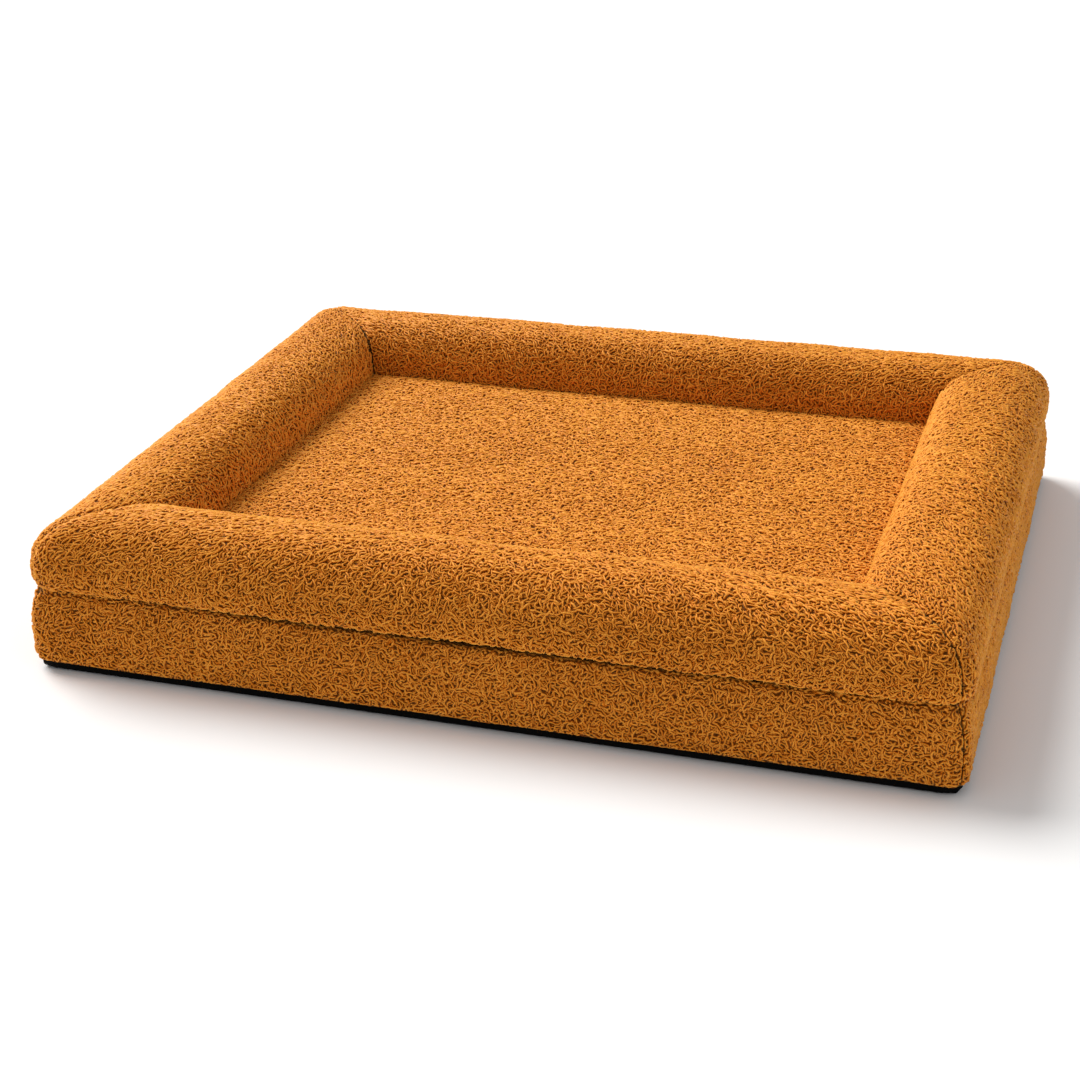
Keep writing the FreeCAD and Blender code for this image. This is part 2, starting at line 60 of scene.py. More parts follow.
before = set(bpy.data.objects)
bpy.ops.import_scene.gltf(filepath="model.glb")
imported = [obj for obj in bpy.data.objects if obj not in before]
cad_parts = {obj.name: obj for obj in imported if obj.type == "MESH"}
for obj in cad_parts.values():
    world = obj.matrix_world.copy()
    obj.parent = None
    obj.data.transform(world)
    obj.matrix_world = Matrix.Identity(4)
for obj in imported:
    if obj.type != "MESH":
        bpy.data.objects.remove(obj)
CAD_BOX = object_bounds()
SIDES = {"front": 0, "right": 1, "rear": 2, "left": 3}  # quarter turns from the front
BODY = "bed"


def node_box(node):
    """Lowest and highest corner of a CAD node, as two arrays."""
    low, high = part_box(node)
    return np.array(low), np.array(high)


HALF_LENGTH, HALF_DEPTH, CREST = (float(value) for value in CAD_BOX[1])
SEAM_LEVEL = float(node_box("divider_cloth")[1][2])
PANEL_LOW, PANEL_HIGH = node_box("sleeping_panel")
BOLSTER_WIDTH = HALF_LENGTH - float(PANEL_HIGH[0])
BASE_RISE = float(node_box("base_panel")[1][2])
TAPE_LOW, TAPE_HIGH = node_box("zip_tape_upper")
COIL_LOW, COIL_HIGH = node_box("zip_coil_upper")
ZIP_LEVEL = float(COIL_LOW[2] + node_box("zip_coil_lower")[1][2]) / 2
TAPE_COVERED = 0.004  # length of each tape end that the wall covers
SLOT_HALF = float(TAPE_HIGH[0]) - TAPE_COVERED
SLOT_HALF_HEIGHT = 0.0075
SHELF_WIDTH = 0.0120  # flat top of a mattress wall, hidden under the bolster


# ---------------------------------------------------------------- settings

def setting(name, default, description, **more):
    """A number in a group of settings."""
    return bpy.props.FloatProperty(name=name, default=default, description=description, **more)


def metres(name, default, description):
    """A length in a group of settings."""
    return setting(name, default, description, unit="LENGTH")


def degrees(name, default, description):
    """An angle in a group of settings, given in degrees."""
    return setting(name, math.radians(default), description, subtype="ANGLE")


def tint(name, default, description):
    """A colour in a group of settings."""
    return bpy.props.FloatVectorProperty(
        name=name, default=default, description=description, subtype="COLOR", size=3
    )


class BedForm(bpy.types.PropertyGroup):
    """Shape of the padded covers."""

    crest_inset: metres("Crest inset", 0.0600, "Distance from the outer face to the crest")
    widest_level: metres("Widest level", 0.0990, "Height of the bolster's widest line")
    bolster_corner: metres("Bolster corner", 0.0300, "Plan radius of the bolster's corners")
    wall_corner: metres("Wall corner", 0.0125, "Plan radius of the mattress wall's corners")
    wall_tuck: metres("Wall tuck", 0.0070, "How far the wall leans in at the floor")
    wall_roll: metres("Wall roll", 0.0085, "How far the wall rolls in at the groove")
    skirt_inset: metres("Skirt inset", 0.0078, "How far the bolster's foot lies inside its face")
    lump: metres("Lump", 0.0005, "Height of the soft unevenness of the stuffing")
    panel_crown: metres("Panel crown", 0.0025, "Rise of the sleeping panel's middle")
    swell: metres("Swell", 0.0012, "Most that the stuffing may push a cover out")


class BedYarn(bpy.types.PropertyGroup):
    """Size and colour of the looped yarn."""

    spacing: metres("Spacing", 0.0043, "Distance between neighbouring loops")
    length: metres("Length", 0.0100, "Mean length of a loop")
    width: metres("Width", 0.0032, "Thickness of the yarn")
    rise: metres("Rise", 0.0006, "Height of a loop above the ground cloth")
    seam_gap: metres("Seam gap", 0.0017, "Bare strip on each side of a mitre seam")
    # bright is the painted highlight on the loops' backs and the ground's ridges; the sewing
    # thread's twist stripes also use it
    bright: tint("Bright", (1.0, 0.42, 0.055), "Colour of the palest yarn")
    middle: tint("Middle", (0.66, 0.160, 0.006), "Colour of most of the yarn")
    # deep is mostly painted shade: the loops' flanks and tips, the ground's valleys and, darkened
    # further, its painted shadow at seams; the zip tape and coil use it as their dye
    deep: tint("Deep", (0.13, 0.026, 0.001), "Colour of the darkest yarn and the ground cloth")


class BedStage(bpy.types.PropertyGroup):
    """Camera and light."""

    distance: metres("Distance", 2.1811, "Camera's distance from the bed's foot")
    yaw: degrees("Yaw", 18.31, "Camera's turn round the bed")
    pitch: degrees("Pitch", 24.93, "Camera's look down")
    roll: degrees("Roll", -1.50, "Camera's lean")
    slide: bpy.props.FloatVectorProperty(
        name="Slide", description="Camera's shift to its right and up", size=2,
        default=(-0.0437, 0.0267), unit="LENGTH",
    )
    lens: setting("Lens", 67.96, "Focal length on a 36 mm sensor, in millimetres")
    sky: setting("Sky", 0.50, "Strength of the even light from all round")
    key: setting("Key", 3.0, "Strength of the main light, from behind on the left")
    fill: setting("Fill", 0.12, "Strength of the light from the right")


# ---------------------------------------------------------------- surfaces

def running_length(points, axis=0):
    """Length walked along one axis of a line or grid of points, from its start."""
    steps = np.linalg.norm(np.diff(points, axis=axis), axis=-1)
    start = np.zeros_like(np.take(steps, [0], axis=axis))
    return np.concatenate([start, np.cumsum(steps, axis=axis)], axis=axis)


def unit(vectors):
    """The same vectors with a length of one."""
    return vectors / np.maximum(np.linalg.norm(vectors, axis=-1, keepdims=True), 1e-12)


def profile_by_length(points, count):
    """The same section with its points spread evenly along it, by straight interpolation of
    each coordinate over the running length."""
    run = running_length(points)
    even = np.linspace(0.0, run[-1], count)
    return np.column_stack([np.interp(even, run, points[:, axis]) for axis in (0, 1)])


def bolster_section(form, count):
    """Section of the bolster as (inset, height): a skirt whose inset falls with the cube of the
    drop, an outer shoulder that is a quarter of a superellipse up to the crest, and a squarer
    quarter superellipse down to the sleeping panel."""
    fraction = np.linspace(0.0, 1.0, 200)
    quarter = fraction * math.pi / 2
    skirt_z = SEAM_LEVEL + (form.widest_level - SEAM_LEVEL) * fraction
    skirt = np.column_stack([form.skirt_inset * (1 - fraction) ** 3, skirt_z])
    outer_power = 2 / 2.5
    shoulder = np.column_stack([
        form.crest_inset * (1 - np.cos(quarter) ** outer_power),
        form.widest_level + (CREST - form.widest_level) * np.sin(quarter) ** outer_power,
    ])
    inner_power = 2 / 3.3
    foot = SEAM_LEVEL
    inner = np.column_stack([
        form.crest_inset + (BOLSTER_WIDTH - form.crest_inset) * np.sin(quarter) ** inner_power,
        foot + (CREST - foot) * np.cos(quarter) ** inner_power,
    ])
    return profile_by_length(np.concatenate([skirt, shoulder[1:], inner[1:]]), count)


def wall_section(form, count):
    """Section of a mattress wall: below its middle it leans in with the seventh power of the
    distance, so it is upright until near the floor, above it rolls in with the square, and it
    ends in a flat shelf under the bolster."""
    height = np.linspace(BASE_RISE - 0.0015, SEAM_LEVEL, 300)
    lean = 2 * height / SEAM_LEVEL - 1
    tuck = form.wall_tuck * lean ** 6 * np.abs(lean)
    inset = np.where(lean < 0, tuck, form.wall_roll * lean ** 2)
    shelf = [[form.wall_roll + SHELF_WIDTH, SEAM_LEVEL]]
    return profile_by_length(np.concatenate([np.column_stack([inset, height]), shelf]), count)


def side_surface(section, corner, quarter_turns, columns, crest_inset=None):
    """Carry a section along one side of the bed, from mitre to mitre. At each inset the path is
    an eighth of a circle, a straight and another eighth, walked at even speed. The circle's
    radius is corner, shrinking to almost nothing at crest_inset when that is given."""
    half_long = HALF_LENGTH if quarter_turns % 2 == 0 else HALF_DEPTH
    half_across = HALF_DEPTH if quarter_turns % 2 == 0 else HALF_LENGTH
    inset = section[:, :1]
    height = section[:, 1:]
    if crest_inset is None:
        radius = np.maximum(corner - 0.5 * inset, 0.004)
    else:
        radius = np.maximum(corner * (1 - inset / crest_inset), 0.003)
    straight = half_long - inset - radius
    reach = straight + radius * math.pi / 4
    walk = np.linspace(-1.0, 1.0, columns)[None, :]
    turn = np.clip((np.abs(walk) * reach - straight) / radius, 0.0, None)
    along = np.sign(walk) * (np.minimum(np.abs(walk) * reach, straight) + radius * np.sin(turn))
    out = -(half_across - inset) + radius * (1 - np.cos(turn))
    points = np.stack([along, out, np.broadcast_to(height, along.shape)], axis=-1)
    cosine, sine = ((1, 0), (0, 1), (-1, 0), (0, -1))[quarter_turns]
    turned = points.copy()
    turned[..., 0] = cosine * points[..., 0] - sine * points[..., 1]
    turned[..., 1] = sine * points[..., 0] + cosine * points[..., 1]
    return turned


def round_the_bed(section, corner, columns):
    """Carry a section round all four sides as one closed band."""
    sides = [side_surface(section, corner, turns, columns)[:, :-1] for turns in SIDES.values()]
    band = np.concatenate(sides, axis=1)
    return np.concatenate([band, band[:, :1]], axis=1)


def surface_normals(points):
    """Unit normals of a grid of points, from the cross product of its two differences."""
    return unit(np.cross(np.gradient(points, axis=1), np.gradient(points, axis=0)))


def soft_noise(points, wavelength, seed, waves=10):
    """Smooth noise between about -1 and 1: the mean of several cosines in random directions."""
    rng = np.random.default_rng(seed)
    directions = unit(rng.normal(size=(waves, 3)))
    rates = 2 * math.pi / (wavelength * rng.uniform(0.7, 1.5, waves))
    phases = rng.uniform(0, 2 * math.pi, waves)
    total = np.zeros(points.shape[:-1])
    for direction, rate, phase in zip(directions, rates, phases):
        total += np.cos(points @ direction * rate + phase)
    return total / math.sqrt(waves)


def push(points, amount):
    """Move every point of a grid along its normal by amount."""
    return points + surface_normals(points) * amount[..., None]


def end_distance(points):
    """Distance of each grid point from the nearer end of its row, walked along the row."""
    run = running_length(points, axis=1)
    return np.minimum(run, run[:, -1:] - run)


def sample(grid, row, column):
    """Bilinear sample of a grid at fractional rows and columns."""
    row = np.clip(row, 0, grid.shape[0] - 1.001)
    column = np.clip(column, 0, grid.shape[1] - 1.001)
    low_row = row.astype(int)
    low_column = column.astype(int)
    up = row - low_row
    over = column - low_column
    if grid.ndim == 3:
        up = up[..., None]
        over = over[..., None]
    near = grid[low_row, low_column] * (1 - over) + grid[low_row, low_column + 1] * over
    far = grid[low_row + 1, low_column] * (1 - over) + grid[low_row + 1, low_column + 1] * over
    return near * (1 - up) + far * up


# ---------------------------------------------------------------- meshes

def mesh_object(name, vertices, groups, uvs):
    """A smooth-shaded object from vertices, groups of faces with equal corners, and corner UVs."""
    mesh = bpy.data.meshes.new(name)
    mesh.vertices.add(len(vertices))
    mesh.vertices.foreach_set("co", np.asarray(vertices, dtype=np.float32).ravel())
    corners = np.concatenate([group.ravel() for group in groups]).astype(np.int32)
    sizes = np.concatenate([np.full(len(group), group.shape[1]) for group in groups])
    mesh.loops.add(len(corners))
    mesh.loops.foreach_set("vertex_index", corners)
    mesh.polygons.add(len(sizes))
    mesh.polygons.foreach_set("loop_start", (np.cumsum(sizes) - sizes).astype(np.int32))
    mesh.polygons.foreach_set("use_smooth", np.ones(len(sizes), dtype=bool))
    layer = mesh.uv_layers.new(name="OFBake")
    layer.data.foreach_set("uv", np.asarray(uvs, dtype=np.float32).ravel())
    mesh.update()
    piece = bpy.data.objects.new(name, mesh)
    bpy.context.scene.collection.objects.link(piece)
    return piece


def grid_faces(rows, columns):
    """Four corners of every cell of a grid, and their UVs from 0 to 1 both ways."""
    first = (np.arange(rows - 1)[:, None] * columns + np.arange(columns - 1)[None, :]).ravel()
    quads = np.stack([first, first + 1, first + columns + 1, first + columns], axis=1)
    row, column = np.divmod(quads.ravel(), columns)
    return quads, np.column_stack([column / (columns - 1), row / (rows - 1)])


def store(piece, name, values):
    """Keep one number for each point of a piece as an attribute."""
    attribute = piece.data.attributes.new(name, "FLOAT", "POINT")
    attribute.data.foreach_set("value", values.ravel().astype(np.float32))


# width of the painted shadow along seams and the groove
CREASE_SHADE_WIDTH = 0.0036


def mark_crease_shade(piece, points, foot=True, shelf=0.0):
    """Store on a cover how near each point is to a seam, as exp(-(distance / width) squared),
    where a seam is either end, the head less a shelf and, if asked, the foot. The ground
    material darkens the cloth by it: a painted shadow in the seams and the groove."""
    run = running_length(points)
    near = np.minimum(end_distance(points), np.maximum(run[-1:] - run - shelf, 0.0))
    if foot:
        near = np.minimum(near, run)
    value = np.zeros(len(piece.data.vertices), dtype=np.float32)
    value[: near.size] = np.exp(-((near / CREASE_SHADE_WIDTH) ** 2)).ravel()
    store(piece, "crease", value)


def open_grid(name, points, missing=None, thickness=0.0):
    """A mesh of a grid of points, without its missing cells, thickened inwards if asked."""
    rows, columns = points.shape[:2]
    quads, uvs = grid_faces(rows, columns)
    if missing is not None:
        centres = points.reshape(-1, 3)[quads].mean(axis=1)
        wanted = ~missing(centres)
        quads = quads[wanted]
        uvs = uvs.reshape(-1, 4, 2)[wanted].reshape(-1, 2)
    piece = mesh_object(name, points.reshape(-1, 3), [quads], uvs)
    if thickness:
        solid = piece.modifiers.new("cloth_thickness", "SOLIDIFY")
        solid.thickness = thickness
        solid.offset = -1.0
    return piece


def closed_grid(name, points):
    """A closed mesh of a grid whose last row joins its first, with both ends capped by fans."""
    rows, columns = points.shape[:2]
    quads, uvs = grid_faces(rows + 1, columns)
    quads = quads % (rows * columns)
    uvs = uvs * np.array([0.94, 1.0])
    centre = rows * columns
    ring = np.arange(rows)
    start = np.stack([np.full(rows, centre), ring * columns, (ring + 1) % rows * columns], axis=1)
    stop = np.stack([
        np.full(rows, centre + 1),
        (ring + 1) % rows * columns + columns - 1,
        ring * columns + columns - 1,
    ], axis=1)
    angle = 2 * math.pi * ring / rows
    spoke = np.column_stack([np.cos(angle), np.sin(angle)]) * 0.02
    following = np.roll(spoke, -1, axis=0)
    hub = np.zeros_like(spoke)
    fans = []
    for place, pair in ((0.25, (hub, spoke, following)), (0.75, (hub, following, spoke))):
        fans.append(np.stack(pair, axis=1).reshape(-1, 2) + np.array([0.97, place]))
    vertices = np.concatenate([
        points.reshape(-1, 3), points[:, 0].mean(axis=0)[None], points[:, -1].mean(axis=0)[None],
    ])
    return mesh_object(name, vertices, [quads, start, stop], np.concatenate([uvs, *fans]))


RING_ANGLES = np.radians([90.0, 210.0, 330.0])
RING_FLATNESS = 1.12  # width of a tube's ring over its height
# How far each loop's colour is raised along its back, a painted highlight, and lowered on its
# flanks and at its tips, painted shade.
PAINTED_HIGHLIGHT = 0.50
PAINTED_SHADE = 0.78


def tubes(name, centre, normal, radius, tone):
    """Many short closed tubes at once. centre and normal are arrays of tube by point by three;
    each tube has a flattened triangular ring at every inner point, one corner of it along the
    normal, and a tip at both ends. The last argument is a number for each tube, kept as an
    attribute with a painted highlight added along the tube's back and painted shade on its
    flanks and at its tips."""
    count, steps = centre.shape[:2]
    side = unit(np.cross(normal, unit(np.gradient(centre, axis=1))))
    inner = slice(1, steps - 1)
    ring = (
        side[:, inner, None, :] * np.cos(RING_ANGLES)[None, None, :, None] * RING_FLATNESS
        + normal[:, inner, None, :] * np.sin(RING_ANGLES)[None, None, :, None]
    )
    rings = centre[:, inner, None, :] + ring * radius[:, None, None, None]
    bands = steps - 2
    last = 1 + bands * 3
    vertices = np.concatenate(
        [centre[:, :1], rings.reshape(count, bands * 3, 3), centre[:, -1:]], axis=1
    )
    faces = []
    for edge in range(3):
        following = (edge + 1) % 3
        faces.append((0, 1 + following, 1 + edge))
        faces.append((last, last - 3 + edge, last - 3 + following))
        for band in range(bands - 1):
            low = 1 + band * 3
            faces.append((low + edge, low + following, low + following + 3))
            faces.append((low + edge, low + following + 3, low + edge + 3))
    first = np.arange(count)[:, None, None] * (last + 1)
    triangles = (first + np.array(faces)[None]).reshape(-1, 3)
    cells = int(math.ceil(math.sqrt(count)))
    cell = np.stack([np.arange(count) % cells, np.arange(count) // cells], axis=1)
    local = [
        (0.05, 0.5),
        *((0.1 + 0.8 * (band + 0.5) / bands, 0.2 + 0.3 * edge)
          for band in range(bands) for edge in range(3)),
        (0.95, 0.5),
    ]
    uvs = ((cell[:, None, :] + np.array(local)[None]) / cells).reshape(-1, 2)[triangles.ravel()]
    piece = mesh_object(name, vertices.reshape(-1, 3), [triangles], uvs)
    # painted highlight on each ring's top corner, painted shade on its two lower corners and at
    # both tips
    shade = np.array([-PAINTED_SHADE, *([PAINTED_HIGHLIGHT, -PAINTED_SHADE, -PAINTED_SHADE] * bands), -PAINTED_SHADE])
    store(piece, "tone", tone[:, None] + shade)
    return piece


# ---------------------------------------------------------------- yarn and stuffing

def loop_places(points, spacing, rng):
    """Where loops are rooted: rows a spacing apart, each holding as many loops as its length
    allows, shaken by up to a third of a spacing both ways. Returns fractional rows and columns."""
    rows, columns = points.shape[:2]
    lengths = np.linalg.norm(np.diff(points, axis=1), axis=-1).sum(axis=1)
    rise = np.linalg.norm(np.diff(points, axis=0), axis=-1).sum(axis=0).mean()
    bands = max(int(round(rise / spacing)), 1)
    band_row = (np.arange(bands) + 0.5) / bands * (rows - 1)
    counts = np.maximum((np.interp(band_row, np.arange(rows), lengths) / spacing), 1).astype(int)
    band = np.repeat(np.arange(bands), counts)
    place = np.arange(len(band)) - np.repeat(np.cumsum(counts) - counts, counts)
    shake = rng.uniform(-0.34, 0.34, (2, len(band)))
    stagger = (band % 2) * 0.5
    row = (band + 0.5 + shake[0]) / bands * (rows - 1)
    column = (place + stagger + shake[1] + 0.25) / counts[band] * (columns - 1)
    return row, column


LOOP_STEPS = np.array([-0.5, -0.44, -0.16, 0.16, 0.44, 0.5])


def row_at(points, distance):
    """Fractional row that lies a distance up the section, measured at the middle column. A
    distance below zero counts from the head."""
    run = running_length(points[:, points.shape[1] // 2])
    walked = distance if distance >= 0 else run[-1] + distance
    return float(np.interp(walked, run, np.arange(len(run))))


def yarn_loops(name, points, yarn, seed, edges, bands=1, keep=None):
    """Loops of yarn on a surface, as a number of pieces. A loop's heading follows a slow swirl
    of the cloth, turns steadily and swings once along it, so it makes a C, an S or a ring; the
    loop rises from the ground cloth with a low power of a half cosine and dives back. edges is
    the bare width at the foot, at the head and at both ends, inside which loops fold back."""
    rng = np.random.default_rng(seed)
    normals = surface_normals(points)
    column_size = np.linalg.norm(np.gradient(points, axis=1), axis=-1)
    row_size = np.linalg.norm(np.gradient(points, axis=0), axis=-1)
    foot, head = row_at(points, edges[0]), row_at(points, -edges[1] - 1e-6)
    row, column = loop_places(points, yarn.spacing, rng)
    wanted = (row > foot) & (row < head)
    if keep is not None:
        wanted &= keep(row, column)
    row, column = row[wanted], column[wanted]
    count = len(row)
    root = sample(points, row, column)
    length = yarn.length * rng.uniform(0.70, 1.30, count)
    swirl = 2.4 * soft_noise(root, 0.024, 40) + 1.5 * soft_noise(root, 0.012, 41)
    heading = swirl + rng.normal(0.0, 0.22, count)
    bend = (0.2 + 4.8 * rng.beta(0.9, 1.7, count)) * rng.choice([-1, 1], count)
    swing = rng.uniform(-0.8, 0.8, count)
    angle = (
        heading[:, None] + bend[:, None] * LOOP_STEPS
        + swing[:, None] * np.cos(2 * math.pi * LOOP_STEPS)
    )
    step = np.diff(LOOP_STEPS) * length[:, None]
    middle_angle = (angle[:, 1:] + angle[:, :-1]) / 2
    start = np.zeros((count, 1))
    sideways = np.concatenate([start, np.cumsum(np.cos(middle_angle) * step, axis=1)], axis=1)
    upwards = np.concatenate([start, np.cumsum(np.sin(middle_angle) * step, axis=1)], axis=1)
    sideways -= sideways.mean(axis=1, keepdims=True)
    upwards -= upwards.mean(axis=1, keepdims=True)
    cell = np.maximum(sample(column_size, row, column), 1e-6)[:, None]
    end = edges[2] / cell
    at_column = np.clip(column[:, None] + sideways / cell, end, points.shape[1] - 1 - end)
    at_row = row[:, None] + upwards / np.maximum(sample(row_size, row, column), 1e-6)[:, None]
    at_row = np.clip(at_row, foot, head)
    centre = sample(points, at_row, at_column)
    normal = unit(sample(normals, at_row, at_column))
    arch = np.maximum(np.cos(math.pi * LOOP_STEPS), 0.0) ** 0.35
    rise = yarn.rise * rng.uniform(0.3, 1.8, count)
    lift = rise[:, None] * arch - 0.35 * yarn.width * (1 - arch)
    tilt = rng.uniform(-0.5, 0.5, count)[:, None] * yarn.rise * LOOP_STEPS * 2
    centre = centre + normal * (lift + tilt * arch)[..., None]
    # a random tone for each loop, plus painted shade that leaves lower loops darker than higher
    # ones
    tone = 0.20 + 0.32 * rng.beta(2.0, 2.0, count) + 0.14 * rise / yarn.rise
    radius = 0.5 * yarn.width * rng.uniform(0.78, 1.22, count)
    share = np.linspace(0, count, bands + 1).round().astype(int)
    made = []
    for index in range(bands):
        part = slice(share[index], share[index + 1])
        loops = tubes(
            f"{name}_yarn_{index + 1}", centre[part], normal[part], radius[part], tone[part]
        )
        made.append(place(loops, "boucle_yarn", "boucle"))
    return made


STUFFING_GRID = (36, 110)
STUFFING_FRAMES = 20


def stuffed(points, most):
    """Let the stuffing swell a cover: a coarse copy is inflated by a short cloth simulation with
    its seams pinned, each point's move is capped at most, and the moves are spread back over
    the fine grid."""
    rows, columns = points.shape[:2]
    pick_rows = np.linspace(0, rows - 1, STUFFING_GRID[0]).round().astype(int)
    pick_columns = np.linspace(0, columns - 1, STUFFING_GRID[1]).round().astype(int)
    coarse = points[np.ix_(pick_rows, pick_columns)]
    model = closed_grid("stuffing", coarse)
    seams = model.vertex_groups.new(name="seams")
    numbers = np.arange(coarse.shape[0] * coarse.shape[1]).reshape(coarse.shape[:2])
    pinned = np.concatenate([numbers[0], numbers[-1], numbers[:, 0], numbers[:, -1]])
    hubs = [numbers.size, numbers.size + 1]
    seams.add(np.unique(pinned).tolist() + hubs, 1.0, "REPLACE")
    cloth = model.modifiers.new("swell", "CLOTH")
    cloth.settings.quality = 6
    cloth.settings.mass = 0.3
    cloth.settings.tension_stiffness = 25
    cloth.settings.compression_stiffness = 25
    cloth.settings.bending_stiffness = 6
    cloth.settings.use_pressure = True
    cloth.settings.uniform_pressure_force = 4.0
    cloth.settings.vertex_group_mass = "seams"
    cloth.settings.effector_weights.gravity = 0.0
    cloth.collision_settings.use_collision = False
    scene = bpy.context.scene
    for step in range(STUFFING_FRAMES):
        scene.frame_set(step + 1)
    shaped = model.evaluated_get(bpy.context.evaluated_depsgraph_get()).data
    places = np.zeros(len(shaped.vertices) * 3, dtype=np.float32)
    shaped.vertices.foreach_get("co", places)
    moved = places.reshape(-1, 3)[: numbers.size].reshape(coarse.shape) - coarse
    size = np.linalg.norm(moved, axis=-1, keepdims=True)
    moved *= most * np.tanh(size / most) / np.maximum(size, 1e-9)
    bpy.data.objects.remove(model)
    scene.frame_set(1)
    row = np.interp(np.arange(rows), pick_rows, np.arange(len(pick_rows)))
    column = np.interp(np.arange(columns), pick_columns, np.arange(len(pick_columns)))
    row_grid, column_grid = np.meshgrid(row, column, indexing="ij")
    return points + sample(moved, row_grid, column_grid)


# ---------------------------------------------------------------- shader maths

class Flow:
    """A shader socket that Python arithmetic can be written on."""

    def __init__(self, graph, socket):
        self.graph = graph
        self.socket = socket

    def maths(self, operation, other, reverse=False):
        """A Math node of this value and another."""
        pair = (other, self) if reverse else (self, other)
        return self.graph.node("ShaderNodeMath", {"operation": operation}, dict(enumerate(pair)))

    def __add__(self, other):
        return self.maths("ADD", other)

    def __radd__(self, other):
        return self.maths("ADD", other, True)

    def __sub__(self, other):
        return self.maths("SUBTRACT", other)

    def __rsub__(self, other):
        return self.maths("SUBTRACT", other, True)

    def __mul__(self, other):
        return self.maths("MULTIPLY", other)

    def __rmul__(self, other):
        return self.maths("MULTIPLY", other, True)


LOOK = "look_"  # start of this script's material names, apart from the CAD materials


class Graph:
    """A material's node tree, filled by one method."""

    def __init__(self, name):
        self.material = bpy.data.materials.new(LOOK + name)
        self.material.use_nodes = True
        self.tree = self.material.node_tree
        self.tree.nodes.clear()
        self.shader = self.tree.nodes.new("ShaderNodeBsdfPrincipled")
        output = self.tree.nodes.new("ShaderNodeOutputMaterial")
        self.tree.links.new(self.shader.outputs[0], output.inputs["Surface"])

    def node(self, kind, settings=None, inputs=None, output=0):
        """Add a node: its settings first, then its sockets' values or links."""
        made = self.tree.nodes.new(kind)
        for key, value in (settings or {}).items():
            if key == "stops":
                self.set_stops(made.color_ramp, value)
            else:
                setattr(made, key, value)
        for key, value in (inputs or {}).items():
            self.feed(made.inputs[key], value)
        return Flow(self, made.outputs[output])

    def feed(self, socket, value):
        """Link a socket or set its value."""
        if isinstance(value, Flow):
            self.tree.links.new(value.socket, socket)
        elif hasattr(value, "__len__") and len(socket.default_value) == 4 and len(value) == 3:
            socket.default_value = (*value, 1.0)
        else:
            socket.default_value = value

    @staticmethod
    def set_stops(ramp, stops):
        """Replace a colour ramp's stops by (place, colour) pairs."""
        while len(ramp.elements) > 1:
            ramp.elements.remove(ramp.elements[0])
        for index, (place, colour) in enumerate(stops):
            element = ramp.elements[0] if index == 0 else ramp.elements.new(place)
            element.position = place
            element.color = (*colour, 1.0)

    def blend(self, factor, first, second):
        """A colour between two, by a Mix node."""
        settings = {"data_type": "RGBA"}
        return self.node("ShaderNodeMix", settings, {0: factor, 6: first, 7: second}, output=2)

    def ramp(self, value, stops):
        """A colour ramp over a value."""
        return self.node("ShaderNodeValToRGB", {"stops": stops}, {0: value})

    def here(self):
        """Object coordinates."""
        return self.node("ShaderNodeTexCoord", output=3)

    def noise(self, scale, detail=2.0, roughness=0.5):
        """Noise over the object's coordinates."""
        inputs = {"Vector": self.here(), "Scale": scale, "Detail": detail, "Roughness": roughness}
        return self.node("ShaderNodeTexNoise", None, inputs)

    def bands(self, scale, direction, distortion=0.0):
        """Straight bands over the object's coordinates."""
        settings = {"wave_type": "BANDS", "bands_direction": direction}
        inputs = {"Vector": self.here(), "Scale": scale, "Distortion": distortion, "Detail": 1.0}
        return self.node("ShaderNodeTexWave", settings, inputs, output=1)

    def bump(self, height, distance, strength=1.0):
        """A bump from a height."""
        inputs = {"Strength": strength, "Distance": distance, "Height": height}
        return self.node("ShaderNodeBump", None, inputs)

    def finish(self, **sockets):
        """Feed the shader's sockets, named with underscores for spaces."""
        for key, value in sockets.items():
            self.feed(self.shader.inputs[key.replace("_", " ")], value)
        return self.material


WARM_GLOSS = {
    "Sheen_Roughness": 0.4, "Sheen_Tint": (1.0, 0.58, 0.18), "Specular_Tint": (1.0, 0.50, 0.07),
}


def yarn_material(yarn):
    """Fuzzy yarn: its colour runs from deep to bright with the loop's random tone, a painted
    highlight along its back, painted shade on its flanks and tips and on lower loops, and a slow
    drift over the cloth, and a fine bump gives its fibres."""
    graph = Graph("boucle_yarn")
    # the loop's attribute: random tone with painted highlight and painted shade
    tone = graph.node("ShaderNodeAttribute", {"attribute_name": "tone"}, output=2)
    drift = graph.noise(9.0, 2.0)
    fibre = graph.noise(1100.0, 2.0, 0.6)
    colour = graph.ramp(
        tone + drift * 0.24 + fibre * 0.24 - 0.24,
        [(0.12, tuple(yarn.deep)), (0.52, tuple(yarn.middle)), (1.0, tuple(yarn.bright))],
    )
    return graph.finish(
        Base_Color=colour, Normal=graph.bump(fibre, 0.0004, 0.6), Roughness=0.5,
        Sheen_Weight=0.30, Specular_IOR_Level=0.5, **WARM_GLOSS,
    )


